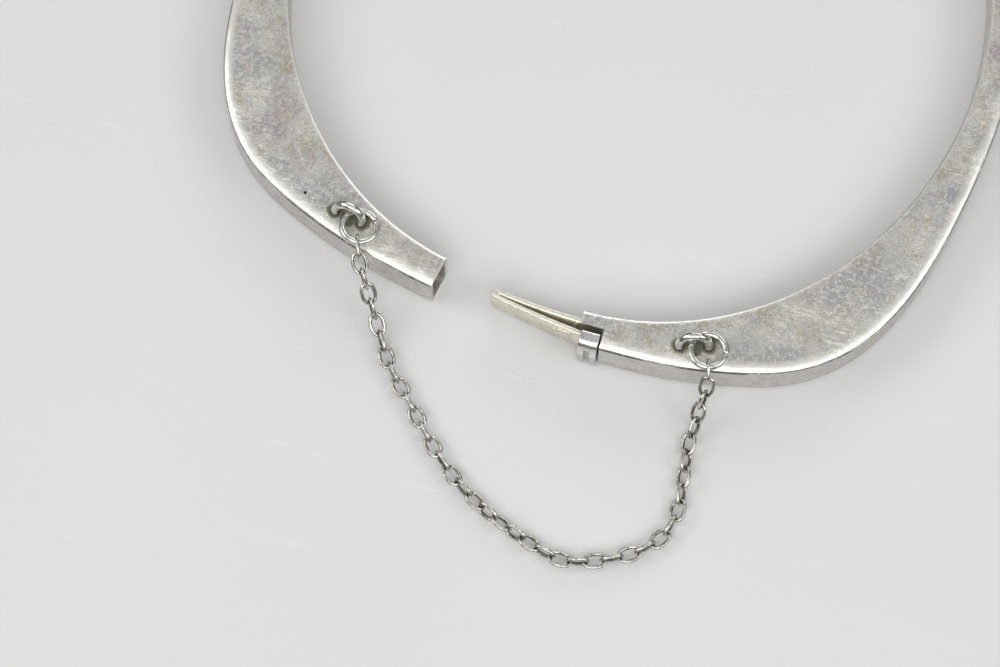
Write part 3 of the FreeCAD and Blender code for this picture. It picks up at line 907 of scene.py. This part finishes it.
def staple(node, name, material):
    """A thick bent wire, flared into its solder at both feet."""
    points = node_points(node)
    floor = points[points[:, 2] < points[:, 2].min() + 0.02]
    spread = floor[:, :2] - floor[:, :2].mean(0)
    axis = np.linalg.svd(spread)[2][0]
    reach = spread @ axis
    span = (reach.max() - reach.min()) / 2 - STAPLE_WIRE
    middle = floor.mean(0) + np.array([*axis, 0]) * (reach.max() + reach.min()) / 2
    side = np.array([*axis, 0])
    away = points - middle
    away -= np.outer(away @ side, side)
    far = away[np.argmax(np.linalg.norm(away, axis=1))]
    tall = np.linalg.norm(far)
    lean = far / tall
    arch = tall - STAPLE_WORN
    rise = arch - span
    path, radii = [], []
    for up_leg in np.linspace(-STAPLE_ROOT, rise, 7)[:-1]:
        path.append(middle - side * span + lean * up_leg)
    for a in np.linspace(math.pi, 0, 34):
        path.append(middle + side * span * math.cos(a) + lean * (rise + span * math.sin(a)))
    for up_leg in np.linspace(rise, -STAPLE_ROOT, 7)[1:]:
        path.append(middle + side * span + lean * up_leg)
    for p in path:
        above = (p - middle) @ lean
        flare = FLARE * math.exp(-max(above, 0) / FLARE_HEIGHT)
        lumpy = 0.012 * noise.noise(Vector(p * 1.3))
        radii.append(STAPLE_WORN + flare + lumpy)
    piece = tube(name, path, radii, False, 28, np.cross(side, lean))
    return place(piece, node, material)


def jump_ring(node, name, material, offset):
    """A round wire ring with a sawn joint, whose two ends stand a little out of line."""
    _, axes = principal(node)
    normal = axes[2] * math.copysign(1, axes[2][2])
    middle = np.array((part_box(node)[0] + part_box(node)[1]) / 2) / MM
    across = np.cross(normal, (0, 0, 1))
    across /= np.linalg.norm(across)
    over = np.cross(normal, across)
    away = node_points(node) - middle
    angles = np.sort(np.arctan2(away @ over, away @ across))
    gaps = np.diff(np.append(angles, angles[0] + math.tau))
    widest = int(np.argmax(gaps))
    start = angles[widest] + gaps[widest] * 0.9
    turn = math.tau - gaps[widest] * 0.8
    radial = np.hypot(away @ across, away @ over)
    wire = np.abs(away @ normal).max()
    ring = radial.max() - wire
    path, radii = [], []
    for share in np.linspace(0, 1, 110):
        a = start + turn * share
        out = ring + 0.02 * offset * (share - 0.5)
        point = middle + out * (math.cos(a) * across + math.sin(a) * over)
        point = point + normal * offset * (share - 0.5) ** 3 * 4
        path.append(point)
        end = min(share, 1 - share) * turn * ring
        radii.append(wire * (0.80 + 0.19 * min(1, end / 0.07)) if end < 0.07 else wire * 0.99)
    piece = tube(name, path, radii, False, 24, normal)
    return place(piece, node, material)


LINK_WIRE = 0.15


def link(node, material, seed):
    """One oval link of the chain, a little squarer than an ellipse, of wire whose thickness wavers slightly, with
    its hollows marked for oxide.
    """
    middle, axes = principal(node)
    long_way, wide_way, normal = axes
    away = node_points(node) - middle
    long_half = np.abs(away @ long_way).max() - LINK_WIRE
    wide_half = np.abs(away @ wide_way).max() - LINK_WIRE
    count, sides = 64, 14
    path, radii = [], []
    bulge = 2.35  # above 2 it is squarer than an ellipse
    for a in np.linspace(0, math.tau, count, endpoint=False):
        c, s = math.cos(a), math.sin(a)
        x = long_half * math.copysign(abs(c) ** (2 / bulge), c)
        y = wide_half * math.copysign(abs(s) ** (2 / bulge), s)
        path.append(middle + long_way * x + wide_way * y)
        wobble = noise.noise(Vector((2 * c, 2 * s, seed * 3.7)))
        radii.append(LINK_WIRE * (0.985 + 0.05 * wobble))
    piece = tube(f"{node}_wire", path, radii, True, sides, normal)
    away = vertex_array(piece) - middle
    x, y = away @ long_way / long_half, away @ wide_way / wide_half
    inward = 1 - np.hypot(x, y)
    ends = np.clip((np.abs(x) - 0.55) / 0.3, 0, 1)
    recess = np.clip(inward * 3.2 + 0.25, 0, 1) * 0.9 + ends * 0.38 - 0.12
    paint(piece, "recess", np.clip(recess, 0, 1))
    return place(piece, node, material)


# ---- the object ----------------------------------------------------------------------------------


def staple_feet(node):
    """The two places where a staple meets its plate, in millimetres."""
    points = node_points(node)
    floor = points[points[:, 2] < points[:, 2].min() + 0.02]
    spread = floor[:, :2] - floor[:, :2].mean(0)
    axis = np.linalg.svd(spread)[2][0]
    reach = spread @ axis
    return [tuple(floor[reach * way > 0.4].mean(0)) for way in (1, -1)]


def stains_and_shadow(node):
    """Where tarnish gathers round both feet of a staple, and where a painted shadow falls under its arch."""
    feet = staple_feet(node)
    middle = tuple((np.array(feet[0]) + np.array(feet[1])) / 2)
    return [(feet[0], 0.25, 1.15), (feet[1], 0.25, 1.15), (middle, 0.35, 1.35)]


PIT = (tuple(RECEIVER @ Vector((12.8, -29.3, HEIGHT))), 0.12)  # a pit's place and its size
plates = {
    "tongue_arm": plate_silver("plate_tongue", stains_and_shadow("tongue_arm_chain_staple"), []),
    "receiver_arm": plate_silver("plate_receiver", stains_and_shadow("receiver_arm_chain_staple"), [PIT]),
}
wall_top = HEIGHT - SHEET
walls = wall_silver("wall_aged_seam_shade", wall_top, -1)
for arm in ("tongue_arm", "receiver_arm"):
    band(arm, arm == "receiver_arm", {
        "top_plate": plates[arm],
        "bottom_plate": plates[arm],
        "outer_wall": walls,
        "inner_wall": walls,
    })
polished = polished_silver("silver_polished")
hinge_finish = polished_silver("silver_hinge")
hinge_half("tongue_arm_hinge_knuckles", "tongue_arm_knuckles", hinge_finish)
hinge_half("receiver_arm_hinge_knuckle", "receiver_arm_knuckle", hinge_finish)
pin(hinge_finish)
rough = clasp_silver("silver_rough")
tongue(rough, polished)
end_plate = frame["nodes"]["tongue_arm_end_plate"]
end_plate.data.materials.clear()
end_plate.data.materials.append(clasp_silver("silver_rough_inside"))
wire = wire_silver("silver_wire")
soldered = wire_silver("silver_wire_soldered", HEIGHT)
for arm, offset in (("tongue_arm", 0.10), ("receiver_arm", 0.22)):
    staple(f"{arm}_chain_staple", f"{arm}_staple_wire", soldered)
    jump_ring(f"{arm}_jump_ring", f"{arm}_ring_wire", wire, offset)
chain = chain_silver("silver_chain")
links = sorted(node for node in frame["nodes"] if node.startswith("chain_link"))
for number, node in enumerate(links):
    link(node, chain, number)


# ---- floor, light and camera ---------------------------------------------------------------------


def floor():
    """A wide pale sheet under the bangle."""
    half = 1500
    corners = [(-half, -half, 0), (half, -half, 0), (half, half, 0), (-half, half, 0)]
    piece = make_object("floor", corners, [(0, 1, 2, 3)])
    piece.data.materials.append(floor_material())


def softbox(name, azimuth, elevation, distance, size, power, tint=(1, 1, 1)):
    """A square soft light that faces the bangle. Azimuth 0 is behind the camera's side, -Y."""
    data = bpy.data.lights.new(name, "AREA")
    data.shape = "RECTANGLE"
    data.size, data.size_y = (s * MM for s in size)
    data.energy = power
    data.color = tint
    light = bpy.data.objects.new(name, data)
    a, e = math.radians(azimuth), math.radians(elevation)
    back = Vector((math.sin(a) * math.cos(e), -math.cos(a) * math.cos(e), math.sin(e)))
    light.location = back * distance * MM
    light.rotation_mode = "QUATERNION"
    light.rotation_quaternion = (-back).to_track_quat("-Z", "Y")
    bpy.context.scene.collection.objects.link(light)


floor()
softbox("front_softbox", 5, 54, 500, (420, 300), 0.95, (1, 0.99, 0.965))
softbox("left_softbox", -75, 42, 520, (300, 240), 0.62)
softbox("right_softbox", 80, 45, 520, (300, 240), 0.6)
softbox("back_softbox", 180, 32, 600, (500, 200), 0.72)
world = bpy.data.worlds.new("studio")
world.use_nodes = True
tree = world.node_tree
where = tree.nodes.new("ShaderNodeTexCoord")
split = tree.nodes.new("ShaderNodeSeparateXYZ")
tree.links.new(where.outputs["Generated"], split.inputs[0])
rise = tree.nodes.new("ShaderNodeMapRange")
rise.interpolation_type = "SMOOTHSTEP"
rise.inputs["From Min"].default_value = 0.25
rise.inputs["From Max"].default_value = 0.85
rise.inputs["To Min"].default_value = 0.14
rise.inputs["To Max"].default_value = 0.49
tree.links.new(split.outputs["Z"], rise.inputs["Value"])
tree.links.new(rise.outputs["Result"], tree.nodes["Background"].inputs["Color"])
bpy.context.scene.world = world
bpy.context.scene.view_settings.view_transform = "Standard"

LENS = 132.75
SENSOR = 36
CAMERA_AT = Vector((16.7, -111.1, 289.3)) * MM
LOOK_AT = Vector((-6.27, -31.39, 0)) * MM
camera_data = bpy.data.cameras.new("camera")
camera_data.lens = LENS
camera_data.sensor_width = SENSOR
camera_data.clip_start = 0.01
camera_data.clip_end = 10
camera = bpy.data.objects.new("camera", camera_data)
camera.location = CAMERA_AT
camera.rotation_mode = "QUATERNION"
camera.rotation_quaternion = (LOOK_AT - CAMERA_AT).to_track_quat("-Z", "Y")
bpy.context.scene.collection.objects.link(camera)
bpy.context.scene.camera = camera
